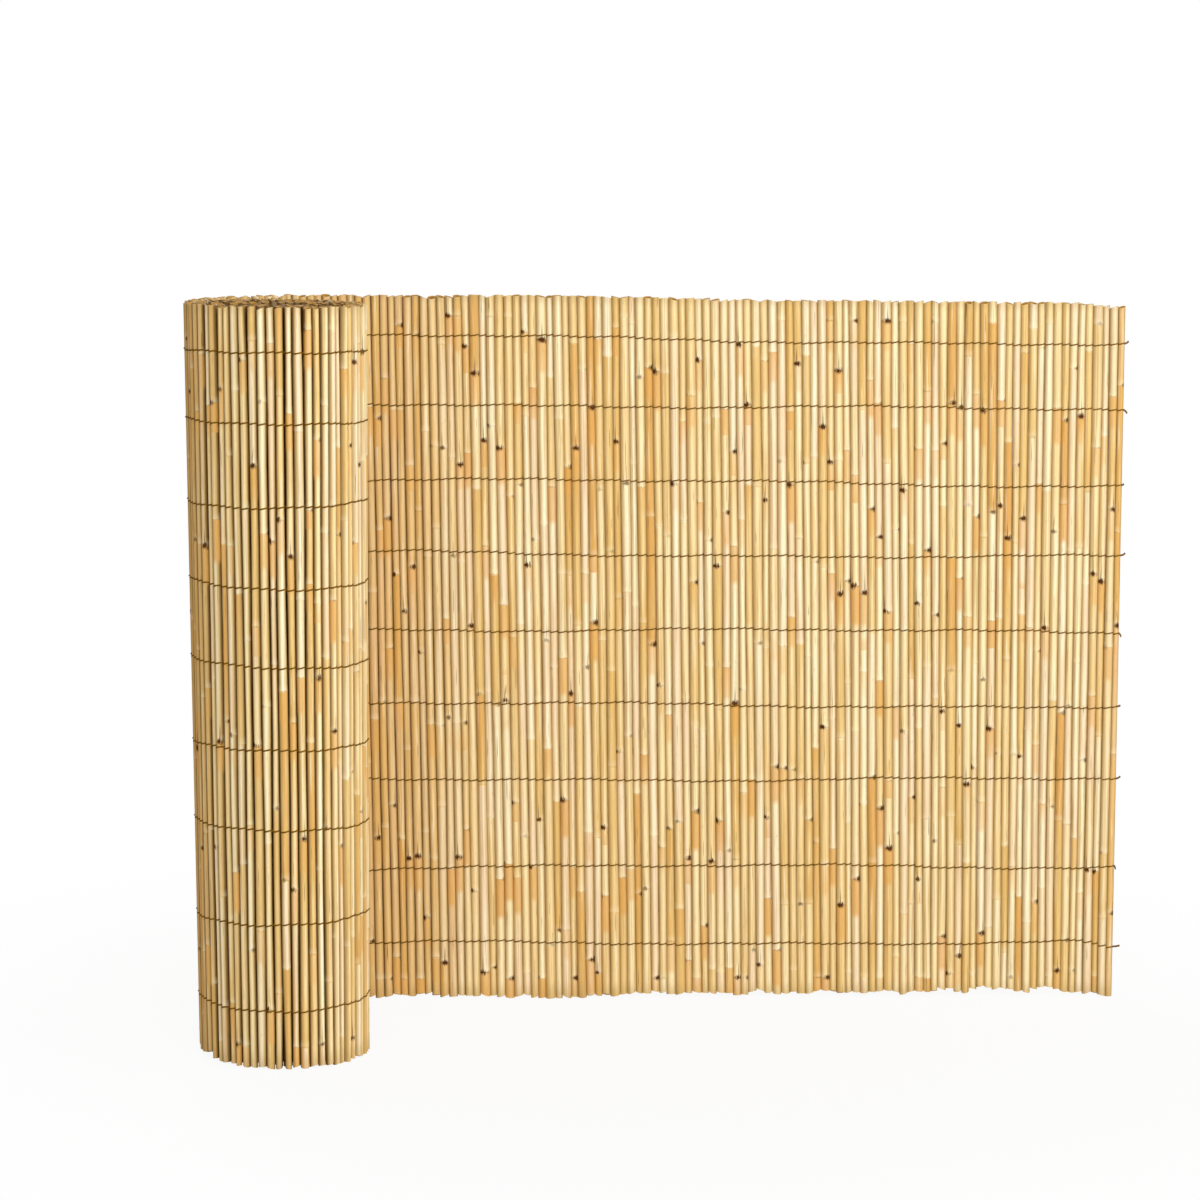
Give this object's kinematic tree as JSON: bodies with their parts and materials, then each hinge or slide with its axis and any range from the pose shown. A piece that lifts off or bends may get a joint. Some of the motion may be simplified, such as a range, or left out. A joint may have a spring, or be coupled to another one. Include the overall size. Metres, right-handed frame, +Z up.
{
  "type": "cane screening roll",
  "caption": "Upright garden screening mat of round canes bound with rows of thin wire, wound up in a roll at one end and rolled out flat at the other.",
  "frame": {"origin": "on the floor, under the middle of the mat's outline in plan", "axes": "+Z up along the canes; +X along the flat stretch, from the roll towards the free end; the flat stretch stands at the back, at +Y"},
  "size_m": [1.3374, 0.4082, 1],
  "materials": {
    "cane": "peeled, dry, satin",
    "wire": "dark annealed, dull"
  },
  "bodies": {
    "root": {"sheet_canes": "cane", "bend_canes": "cane", "roll_lap_1": "cane", "roll_lap_2": "cane", "roll_lap_3": "cane", "roll_lap_4": "cane", "roll_lap_5": "cane", "wire_row_1": "wire", "wire_row_2": "wire", "wire_row_3": "wire", "wire_row_4": "wire", "wire_row_5": "wire", "wire_row_6": "wire", "wire_row_7": "wire", "wire_row_8": "wire", "wire_row_9": "wire"}
  },
  "joints": []
}
